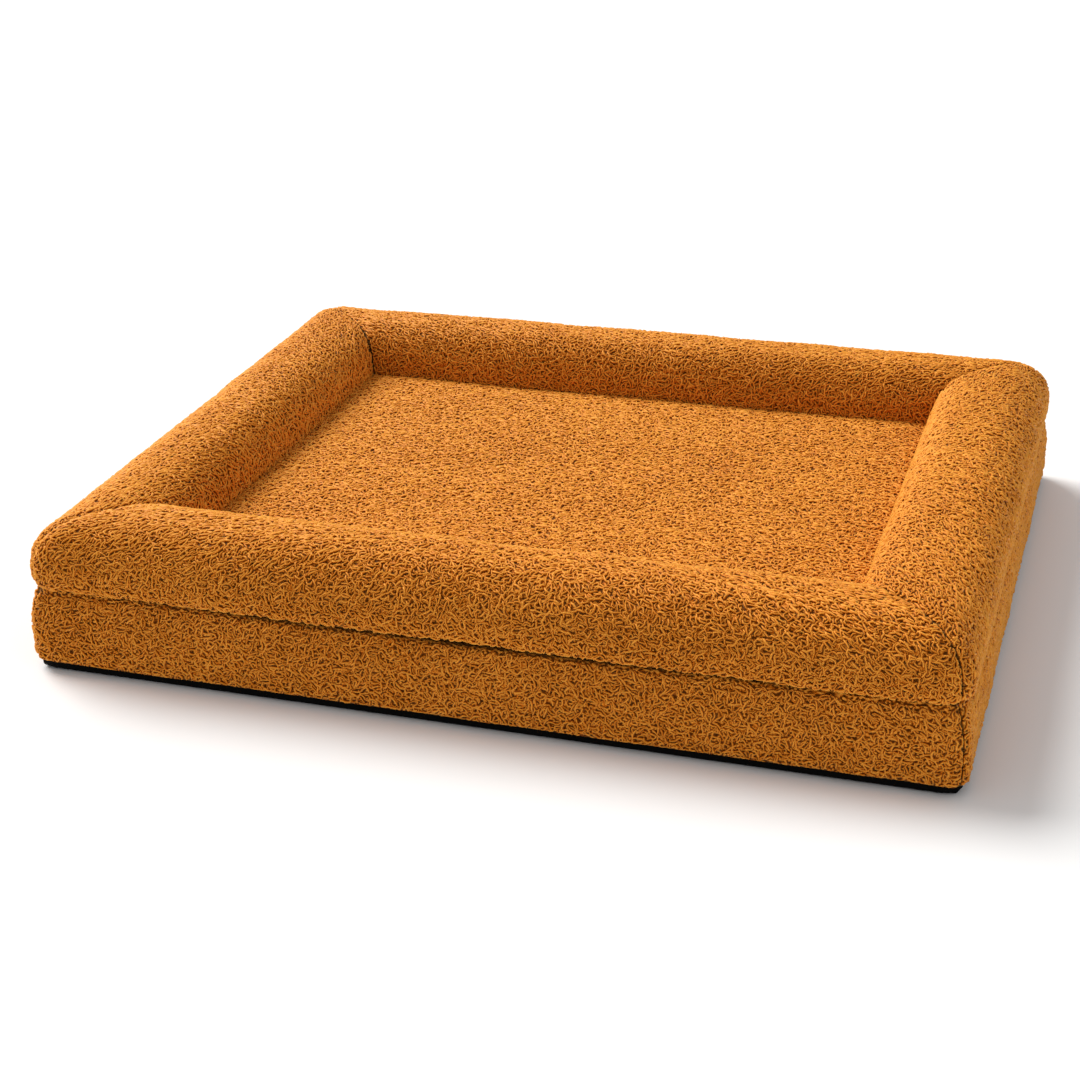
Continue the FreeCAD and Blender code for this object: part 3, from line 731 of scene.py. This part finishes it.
def ground_material(yarn):
    """Packed lower loops seen between the upper ones: isotropic Gabor noise gives evenly spaced
    worm-like ridges, with painted shade in their narrow valleys and yarn colour rising to a
    painted highlight on their backs; near seams and the groove the colour turns to a painted
    shadow."""
    graph = Graph("boucle_ground")
    worms = graph.node(
        "ShaderNodeTexGabor", {"gabor_type": "3D"},
        {"Vector": graph.here(), "Scale": 130.0, "Frequency": 2.2, "Anisotropy": 0.0},
    )
    fibre = graph.noise(1100.0, 2.0, 0.6)
    back = graph.node(
        "ShaderNodeMapRange", {"interpolation_type": "SMOOTHSTEP"},
        {0: worms, 1: 0.30, 2: 0.62, 3: 0.0, 4: 1.0},
    )
    # painted shade in the valleys, darker than deep at the bottom, and a painted highlight of
    # bright on the highest backs
    colour = graph.ramp(back * 0.86 + fibre * 0.2 - 0.06, [
        (0.05, tuple(part * 0.6 for part in yarn.deep)),
        (0.32, tuple(yarn.deep)),
        (0.64, tuple(yarn.middle)),
        (1.00, tuple(yarn.bright)),
    ])
    # painted shadow: near seams and the groove the colour turns to a very dark brown
    crease = graph.node("ShaderNodeAttribute", {"attribute_name": "crease"}, output=2)
    shadow = tuple(part * 0.15 for part in yarn.deep)
    return graph.finish(
        Base_Color=graph.blend(crease, colour, shadow),
        Normal=graph.bump(back + fibre * 0.12, 0.0016), Roughness=0.6,
        Sheen_Weight=0.25, Specular_IOR_Level=0.4, **WARM_GLOSS,
    )


def base_material():
    """Black non-slip cloth: a fine even weave with a slight unevenness of its black."""
    graph = Graph("base_cloth")
    weave = graph.bands(420.0, "DIAGONAL", 1.5)
    colour = graph.blend(
        graph.noise(25.0, 3.0) * 0.6 + weave * 0.3, (0.002, 0.002, 0.002), (0.007, 0.007, 0.007)
    )
    return graph.finish(Base_Color=colour, Normal=graph.bump(weave, 0.0003, 0.5), Roughness=0.65,
                        IOR=1.08)


def grip_material():
    """Black rubber dots, a little shinier than the cloth they are printed on."""
    graph = Graph("grip_dots")
    colour = graph.blend(graph.noise(60.0), (0.010, 0.010, 0.011), (0.030, 0.030, 0.031))
    return graph.finish(Base_Color=colour, Roughness=0.42)


def lining_material():
    """Plain-woven lining: crossed bands of warp and weft."""
    graph = Graph("lining_cloth")
    weave = graph.bands(500.0, "X") * 0.5 + graph.bands(500.0, "Y") * 0.5
    colour = graph.blend(weave, (0.60, 0.57, 0.52), (0.78, 0.75, 0.70))
    return graph.finish(Base_Color=colour, Normal=graph.bump(weave, 0.0002), Roughness=0.85)


def foam_material():
    """Open-cell foam: small pores from Voronoi cells over a pale cream."""
    graph = Graph("foam")
    inputs = {"Vector": graph.here(), "Scale": 420.0}
    pores = graph.node("ShaderNodeTexVoronoi", None, inputs)
    colour = graph.ramp(pores, [(0.1, (0.62, 0.58, 0.45)), (0.5, (0.88, 0.85, 0.74))])
    return graph.finish(Base_Color=colour, Normal=graph.bump(pores, 0.0006), Roughness=0.95)


def tape_material(yarn):
    """Twill zip tape in a darker shade of the yarn."""
    graph = Graph("zip_tape")
    twill = graph.bands(700.0, "DIAGONAL")
    first = tuple(part * 0.55 for part in yarn.middle)
    colour = graph.blend(twill, tuple(yarn.deep), first)
    return graph.finish(Base_Color=colour, Normal=graph.bump(twill, 0.00015), Roughness=0.8,
                        Specular_IOR_Level=0.2, Specular_Tint=(1.0, 0.50, 0.07))


def coil_material(yarn):
    """Glossy nylon coil, dyed to match."""
    graph = Graph("zip_coil")
    colour = graph.blend(graph.noise(90.0), tuple(yarn.deep), tuple(yarn.middle))
    return graph.finish(Base_Color=colour, Roughness=0.35)


def metal_material():
    """Black enamelled metal with faint wear."""
    graph = Graph("zip_metal")
    wear = graph.noise(450.0, 4.0, 0.7)
    colour = graph.ramp(wear, [(0.45, (0.018, 0.018, 0.019)), (0.75, (0.09, 0.088, 0.085))])
    return graph.finish(Base_Color=colour, Roughness=wear * 0.25 + 0.18, Metallic=0.6)


def thread_material(yarn):
    """Sewing thread, twisted and slightly shiny."""
    graph = Graph("sewing_thread")
    twist = graph.bands(1500.0, "DIAGONAL")
    colour = graph.blend(twist, tuple(yarn.middle), tuple(yarn.bright))
    return graph.finish(Base_Color=colour, Normal=graph.bump(twist, 0.0001), Roughness=0.45)


def floor_material():
    """Plain pale floor with the faintest mottling."""
    graph = Graph("studio_floor")
    colour = graph.blend(graph.noise(3.0), (0.93, 0.93, 0.93), (0.96, 0.96, 0.96))
    return graph.finish(Base_Color=colour, Roughness=0.9, Specular_IOR_Level=0.1)


# ---------------------------------------------------------------- pieces

def place(piece, material, slot, nodes=(), body=BODY):
    """Give a piece its material and body, and hide the CAD nodes it stands for. slot is not used.
    """
    piece.data.materials.append(bpy.data.materials[LOOK + material])
    if nodes:
        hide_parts(*nodes)
    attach(piece, body)
    return piece


class PETBED_OT_materials(bpy.types.Operator):
    """Make the materials that the pieces share, and dress the CAD nodes that stay"""

    bl_idname = "petbed.materials"
    bl_label = "Materials"

    def execute(self, context):
        yarn = context.scene.petbed_yarn
        for make in (yarn_material, ground_material, tape_material, coil_material,
                     thread_material):
            make(yarn)
        for make in (base_material, grip_material, lining_material, foam_material,
                     metal_material, floor_material):
            make()
        dressed = {
            "foam_liner": "lining_cloth", "support_foam": "foam", "comfort_foam": "foam",
            "zip_tape_upper": "zip_tape", "zip_tape_lower": "zip_tape",
            "zip_end_stops": "zip_metal", "zip_slider": "zip_metal", "zip_pull": "zip_metal",
        }
        for node, material in dressed.items():
            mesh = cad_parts[node].data
            mesh.materials.clear()
            mesh.materials.append(bpy.data.materials[LOOK + material])
        return {"FINISHED"}


GROUND_DROP = 0.0004  # ground cloth below the section, to leave room for the loops
SEAM_REACH = 0.0034
LUMP_FADE = 0.02
BOLSTER_CREASE = 0.0016
CORE_DROP = 0.0040
BOLSTER_BARE = (0.0050, 0.0036)  # bare strips at the bolster's foot and head


def padded_points(points, seam, lumps, crease):
    """Raise a cover by its lumps, which fade out at its ends, and sink its ends to a crease."""
    sunk = -crease * np.exp(-((seam / SEAM_REACH) ** 2))
    return push(points, lumps * np.clip(seam / LUMP_FADE, 0, 1) + sunk - GROUND_DROP)


class PETBED_OT_bolster(bpy.types.Operator):
    """Build the four mitred bolster covers, their yarn and their foam cores"""

    bl_idname = "petbed.bolster"
    bl_label = "Bolster"

    def execute(self, context):
        form = context.scene.petbed_form
        yarn = context.scene.petbed_yarn
        section = bolster_section(form, 85)
        for side, turns in SIDES.items():
            columns = 250 if turns % 2 == 0 else 211
            points = side_surface(section, form.bolster_corner, turns, columns, form.crest_inset)
            points = stuffed(points, form.swell)
            seam = end_distance(points)
            lumps = form.lump * (soft_noise(points, 0.11, 5) + 0.5 * soft_noise(points, 0.045, 6))
            points = padded_points(points, seam, lumps, BOLSTER_CREASE)
            cover = place(
                closed_grid(side + "_bolster", points), "boucle_ground", "boucle",
                ["bolster_cover_" + side],
            )
            mark_crease_shade(cover, points)
            core_points = push(points, np.full(points.shape[:2], -CORE_DROP))[::3, ::3]
            core = place(
                closed_grid(side + "_bolster_core", core_points), "foam", "foam",
                ["bolster_core_" + side],
            )
            edges = (*BOLSTER_BARE, yarn.seam_gap)
            yarn_loops(side + "_bolster", points, yarn, 100 + 10 * turns, edges, bands=2)
        return {"FINISHED"}


WALL_CREASE = 0.0014
WALL_BARE = (0.0018, SHELF_WIDTH + 0.0036)  # bare strips at a wall's foot and at its groove
CORNER_REACH = 0.016
SLOT_CUT = 0.0010
SLOT_BARE = 0.0062


def in_slot(place_x, place_z, margin):
    """Whether points of the rear wall lie in the zip's slot, grown by a margin."""
    return (np.abs(place_x) < SLOT_HALF + margin) & (
        np.abs(place_z - ZIP_LEVEL) < SLOT_HALF_HEIGHT + margin
    )


def cut_for_slot(centres):
    """Whether cells of the rear wall with these centres are cut away."""
    return in_slot(centres[:, 0], centres[:, 2], SLOT_CUT)


def clear_of_slot(points, row, column):
    """Whether loops rooted there stay out of the zip's slot and its frame."""
    roots = sample(points, row, column)
    return ~in_slot(roots[:, 0], roots[:, 2], SLOT_BARE)


def near_corner(seam, row, column):
    """Whether loops are rooted close to a mitre seam."""
    return sample(seam, row, column) < CORNER_REACH


class PETBED_OT_walls(bpy.types.Operator):
    """Build the four mattress walls, the rear one with a slot for the zip"""

    bl_idname = "petbed.walls"
    bl_label = "Mattress walls"

    def execute(self, context):
        form = context.scene.petbed_form
        yarn = context.scene.petbed_yarn
        section = wall_section(form, 50)
        for side, turns in SIDES.items():
            columns = 360 if side == "rear" else 150
            points = side_surface(section, form.wall_corner, turns, columns)
            seam = end_distance(points)
            lumps = form.lump * (soft_noise(points, 0.13, 7) + 0.5 * soft_noise(points, 0.05, 8))
            if side == "rear":
                lumps *= np.clip((np.abs(points[..., 2] - ZIP_LEVEL) - 0.012) / 0.02, 0, 1)
            points = padded_points(points, seam, lumps, WALL_CREASE)
            missing = cut_for_slot if side == "rear" else None
            keep = partial(clear_of_slot, points) if side == "rear" else None
            wall = place(
                open_grid(side + "_wall", points, missing, 0.0018), "boucle_ground", "boucle",
                ["boxing_" + side],
            )
            mark_crease_shade(wall, points, foot=False, shelf=SHELF_WIDTH)
            edges = (*WALL_BARE, yarn.seam_gap)
            loops = yarn_loops(side + "_wall", points, yarn, 200 + 10 * turns, edges, keep=keep)
            edges = (SEAM_LEVEL - BASE_RISE, 0.002, yarn.seam_gap)
            loops += yarn_loops(
                side + "_wall_corner", points, yarn, 240 + 10 * turns, edges,
                keep=partial(near_corner, seam),
            )
        return {"FINISHED"}


PANEL_BARE = 0.0024
DIVIDER_INSET = 0.0105
DIVIDER_DROP = 0.0012  # keeps the divider below the walls' shelves


class PETBED_OT_panel(bpy.types.Operator):
    """Build the quilted sleeping panel and the divider cloth under the bolster"""

    bl_idname = "petbed.panel"
    bl_label = "Sleeping panel"

    def execute(self, context):
        form = context.scene.petbed_form
        yarn = context.scene.petbed_yarn
        across = np.linspace(-1, 1, 120)[None, :]
        along = np.linspace(-1, 1, 90)[:, None]
        crown = (1 - across ** 4) * (1 - along ** 4)
        half_x, half_y = PANEL_HIGH[0] + 0.002, PANEL_HIGH[1] + 0.002
        edge = np.minimum((1 - np.abs(across)) * half_x, (1 - np.abs(along)) * half_y)
        tuck = -0.0030 * np.exp(-edge / 0.006)
        x = np.broadcast_to(across * half_x, crown.shape)
        y = np.broadcast_to(along * half_y, crown.shape)
        z = PANEL_HIGH[2] - 0.0009 + form.panel_crown * crown + tuck
        points = np.stack([x, y, z], axis=-1)
        points = push(points, form.lump * soft_noise(points, 0.16, 9))
        depth = float(PANEL_HIGH[2] - PANEL_LOW[2])
        panel = open_grid("sleeping_pad", points, thickness=depth * 0.8)
        place(panel, "boucle_ground", "boucle", ["sleeping_panel"])
        yarn_loops("sleeping_pad", points, yarn, 300, (PANEL_BARE,) * 3, bands=3)

        outline = np.array([[DIVIDER_INSET, SEAM_LEVEL - DIVIDER_DROP]])
        ring = round_the_bed(outline, form.wall_corner, 40)
        limit = np.array([PANEL_HIGH[0], PANEL_HIGH[1], 1.0])
        inner = np.clip(ring, -limit, limit)
        steps = np.linspace(1.0, 0.0, 8)[:, None, None]
        divider = open_grid("divider", ring * steps + inner * (1 - steps), thickness=0.0008)
        place(divider, "lining_cloth", "lining", ["divider_cloth"])
        return {"FINISHED"}


RIM_INSET = 0.0040
RIM_RADIUS = 0.0045
GRIP_HEIGHT = 0.0006
GRIP_PITCH = 0.0240
GRIP_RADIUS = 0.0026
GRIP_CORNERS = 8


class PETBED_OT_base(bpy.types.Operator):
    """Build the black base with its turned-up edge and its grip dots"""

    bl_idname = "petbed.base"
    bl_label = "Base"

    def execute(self, context):
        form = context.scene.petbed_form
        turn = np.linspace(0.0, math.pi / 2, 7)
        arc = np.column_stack([
            RIM_INSET + RIM_RADIUS * (1 - np.sin(turn)),
            GRIP_HEIGHT + RIM_RADIUS * (1 - np.cos(turn)),
        ])
        top = np.column_stack([np.full(3, RIM_INSET), np.linspace(0.008, BASE_RISE + 0.001, 3)])
        section = np.concatenate([arc, top])
        wall = round_the_bed(section, form.wall_corner, 70)
        hub = np.array([0.0, 0.0, GRIP_HEIGHT])
        steps = np.linspace(0.02, 1.0, 9)[:, None, None]
        points = np.concatenate([hub + (wall[:1] - hub) * steps, wall[1:]], axis=0)
        base = place(
            open_grid("base_cloth", points, thickness=0.0014), "base_cloth", "base_cloth",
            ["base_panel"],
        )

        across = np.arange(-18, 19) * GRIP_PITCH
        along = np.arange(-17, 18) * GRIP_PITCH * math.sqrt(0.75)
        x, y = np.meshgrid(across, along)
        x = x + (np.arange(len(along)) % 2)[:, None] * GRIP_PITCH / 2
        inside = (np.abs(x) < HALF_LENGTH - 0.016) & (np.abs(y) < HALF_DEPTH - 0.016)
        x, y = x[inside], y[inside]
        angle = np.linspace(0, 2 * math.pi, GRIP_CORNERS, endpoint=False)
        circle = np.column_stack([GRIP_RADIUS * np.cos(angle), GRIP_RADIUS * np.sin(angle)])
        rings = ((1.0, GRIP_HEIGHT + 0.0002), (0.72, 0.0001), (0.35, 0.0))
        dome = np.concatenate([
            np.column_stack([size * circle, np.full(GRIP_CORNERS, height)])
            for size, height in rings
        ])
        corner = np.arange(GRIP_CORNERS)
        following = (corner + 1) % GRIP_CORNERS
        cell = np.stack(
            [corner, corner + GRIP_CORNERS, following + GRIP_CORNERS, following], axis=1
        )
        sides = np.concatenate([cell, cell + GRIP_CORNERS])
        caps = np.stack([corner, corner[::-1] + 2 * GRIP_CORNERS])
        shift = np.column_stack([x, y, np.zeros(len(x))])
        vertices = (shift[:, None] + dome[None]).reshape(-1, 3)
        offset = np.arange(len(x))[:, None, None] * len(dome)
        groups = [(offset + sides).reshape(-1, 4), (offset + caps).reshape(-1, GRIP_CORNERS)]
        flat_uv = np.concatenate([vertices[group.ravel()][:, :2] for group in groups])
        uvs = flat_uv / (2 * HALF_LENGTH) + 0.5
        place(mesh_object("grip_dots", vertices, groups, uvs), "grip_dots", "base_cloth")
        return {"FINISHED"}


COIL_PITCH = 0.0016
COIL_WIRE = 0.00035
STITCH_PITCH = 0.0042
STITCH_GROW = 0.0038  # the stitch line's distance outside the slot
STITCH_RADIUS = 0.00035
FRAME_COLUMNS = 700


def slot_path(grow, count):
    """A closed path round the zip's slot, grown outwards: straight sides and round corners,
    walked at even speed. Returns its x and z, anticlockwise as seen from behind."""
    radius = 0.0015 + grow
    half_x, half_z = SLOT_HALF + grow, SLOT_HALF_HEIGHT + grow
    quarter = np.linspace(0, math.pi / 2, 7)
    corners = []
    for turns, (x, z) in enumerate(((1, 1), (-1, 1), (-1, -1), (1, -1))):
        angle = quarter + turns * math.pi / 2
        corners.append(np.column_stack([
            x * (half_x - radius) + radius * np.cos(angle),
            z * (half_z - radius) + radius * np.sin(angle),
        ]))
    outline = np.concatenate([*corners, corners[0][:1]])
    return profile_by_length(outline, count) + np.array([0.0, ZIP_LEVEL])


class PETBED_OT_zip(bpy.types.Operator):
    """Build the zip's framing strip, its stitches and its two coils"""

    bl_idname = "petbed.zip"
    bl_label = "Zip"

    def execute(self, context):
        face = HALF_DEPTH
        tape_face = float(TAPE_HIGH[1])
        lip = ((0.0052, -0.0012), (0.0046, -0.0002), (0.0030, 0.0004), (0.0012, 0.0002),
               (0.0002, -0.0008), (0.0, -0.0030), (0.0, tape_face + 0.0002 - face))
        rows = []
        for grow, out in lip:
            path = slot_path(grow, FRAME_COLUMNS)
            level = np.full(FRAME_COLUMNS, face + out)
            rows.append(np.column_stack([path[:, 0], level, path[:, 1]]))
        points = np.stack(rows)
        strip = place(open_grid("zip_frame", points, thickness=0.0006), "zip_tape", "zip_tape")
        around = 4 * (SLOT_HALF + SLOT_HALF_HEIGHT)

        for name, way in (("coil_upper", 1), ("coil_lower", -1)):
            node = "zip_" + name
            low, high = node_box(node)
            turns = int((high[0] - low[0] - 2 * COIL_WIRE) / COIL_PITCH)
            walk = np.linspace(0, turns, turns * 8 + 1)
            angle = 2 * math.pi * walk * way
            middle_y = (low[1] + high[1]) / 2
            half_y = (high[1] - low[1]) / 2 - COIL_WIRE
            near = ZIP_LEVEL + way * 0.0005
            far = (high if way > 0 else low)[2]
            middle_z = (near + far) / 2
            half_z = abs(far - near) / 2 - COIL_WIRE
            line = np.column_stack([
                low[0] + COIL_WIRE + walk * COIL_PITCH,
                middle_y + half_y * np.sin(angle),
                middle_z + half_z * np.cos(angle),
            ])
            tangent = unit(np.gradient(line, axis=0))
            side = unit(np.cross(tangent, (1.0, 0.0, 0.0)))
            other = np.cross(tangent, side)
            ring = np.radians([0, 90, 180, 270])[::-1, None, None]
            wire = line + COIL_WIRE * (side * np.cos(ring) + other * np.sin(ring))
            place(closed_grid(name, wire), "zip_coil", "zip_coil", [node])

        path = slot_path(STITCH_GROW, int(around / STITCH_PITCH) + 1)
        middle = (path[1:] + path[:-1]) / 2
        heading = path[1:] - path[:-1]
        steps = np.array([-0.40, -0.32, -0.1, 0.1, 0.32, 0.40])
        depth = face + np.array([-0.0006, 0.0003, 0.0008, 0.0008, 0.0003, -0.0006])
        run = middle[:, None, :] + heading[:, None, :] * steps[None, :, None]
        depth = np.broadcast_to(depth, run.shape[:2])
        centre = np.stack([run[..., 0], depth, run[..., 1]], axis=-1)
        normal = np.broadcast_to(np.array([0.0, 1.0, 0.0]), centre.shape)
        count = len(centre)
        radius, tone = np.full(count, STITCH_RADIUS), np.full(count, 0.5)
        stitches = tubes("zip_stitches_1", centre, normal, radius, tone)
        place(stitches, "sewing_thread", "zip_tape")
        return {"FINISHED"}


def lamp(name, direction, width, strength, colour):
    """A distant soft light shining along a direction."""
    data = bpy.data.lights.new(name, "SUN")
    data.angle = width
    data.energy = strength
    data.color = colour
    light = bpy.data.objects.new(name, data)
    light.rotation_euler = Vector(direction).to_track_quat("-Z", "Y").to_euler()
    bpy.context.scene.collection.objects.link(light)


class PETBED_OT_stage(bpy.types.Operator):
    """Build the floor, lights and camera"""

    bl_idname = "petbed.stage"
    bl_label = "Stage"

    def execute(self, context):
        stage = context.scene.petbed_stage
        x, y = np.meshgrid([-8.0, 8.0], [-8.0, 8.0])
        floor = open_grid("floor", np.stack([x, y, np.zeros((2, 2))], axis=-1))
        floor.data.materials.append(bpy.data.materials[LOOK + "studio_floor"])
        world = bpy.data.worlds.new("studio")
        world.use_nodes = True
        background = world.node_tree.nodes["Background"]
        background.inputs["Color"].default_value = (1.0, 1.0, 1.0, 1.0)
        background.inputs["Strength"].default_value = stage.sky
        context.scene.world = world
        context.scene.view_settings.view_transform = "Standard"
        lamp("key", (0.66, -0.30, -0.74), 0.60, stage.key, (1.0, 0.99, 0.97))
        lamp("fill", (-0.80, 0.15, -0.55), 0.80, stage.fill, (1.0, 1.0, 1.0))
        camera_data = bpy.data.cameras.new("camera")
        camera_data.sensor_width = 36.0
        camera_data.lens = stage.lens
        camera = bpy.data.objects.new("camera", camera_data)
        context.scene.collection.objects.link(camera)
        ahead = Vector((
            -math.sin(stage.yaw) * math.cos(stage.pitch),
            math.cos(stage.yaw) * math.cos(stage.pitch),
            -math.sin(stage.pitch),
        ))
        right = Vector((math.cos(stage.yaw), math.sin(stage.yaw), 0.0))
        up = right.cross(ahead)
        spot = -ahead * stage.distance + right * stage.slide[0] + up * stage.slide[1]
        leaned_right = right * math.cos(stage.roll) + up * math.sin(stage.roll)
        leaned_up = up * math.cos(stage.roll) - right * math.sin(stage.roll)
        turn = Matrix((leaned_right, leaned_up, -ahead)).transposed()
        camera.matrix_world = Matrix.Translation(spot) @ turn.to_4x4()
        context.scene.camera = camera
        return {"FINISHED"}


OPERATORS = (
    PETBED_OT_materials,
    PETBED_OT_bolster,
    PETBED_OT_walls,
    PETBED_OT_panel,
    PETBED_OT_base,
    PETBED_OT_zip,
    PETBED_OT_stage,
)


class PETBED_PT_build(bpy.types.Panel):
    """Sidebar panel with one button for each group of pieces"""

    bl_label = "Pet bed"
    bl_idname = "PETBED_PT_build"
    bl_space_type = "VIEW_3D"
    bl_region_type = "UI"
    bl_category = "Pet bed"

    def draw(self, context):
        for operator in OPERATORS:
            self.layout.operator(operator.bl_idname)


GROUPS = {"petbed_form": BedForm, "petbed_yarn": BedYarn, "petbed_stage": BedStage}


def register():
    """Register the settings, operators and panel."""
    for name, group in GROUPS.items():
        bpy.utils.register_class(group)
        setattr(bpy.types.Scene, name, bpy.props.PointerProperty(type=group))
    for made in (*OPERATORS, PETBED_PT_build):
        bpy.utils.register_class(made)


def unregister():
    """Take the settings, operators and panel away again."""
    for made in (PETBED_PT_build, *reversed(OPERATORS)):
        bpy.utils.unregister_class(made)
    for name, group in GROUPS.items():
        delattr(bpy.types.Scene, name)
        bpy.utils.unregister_class(group)


def main():
    """Build everything."""
    register()
    for operator in OPERATORS:
        group, call = operator.bl_idname.split(".")
        getattr(getattr(bpy.ops, group), call)()


if __name__ == "__main__":
    main()
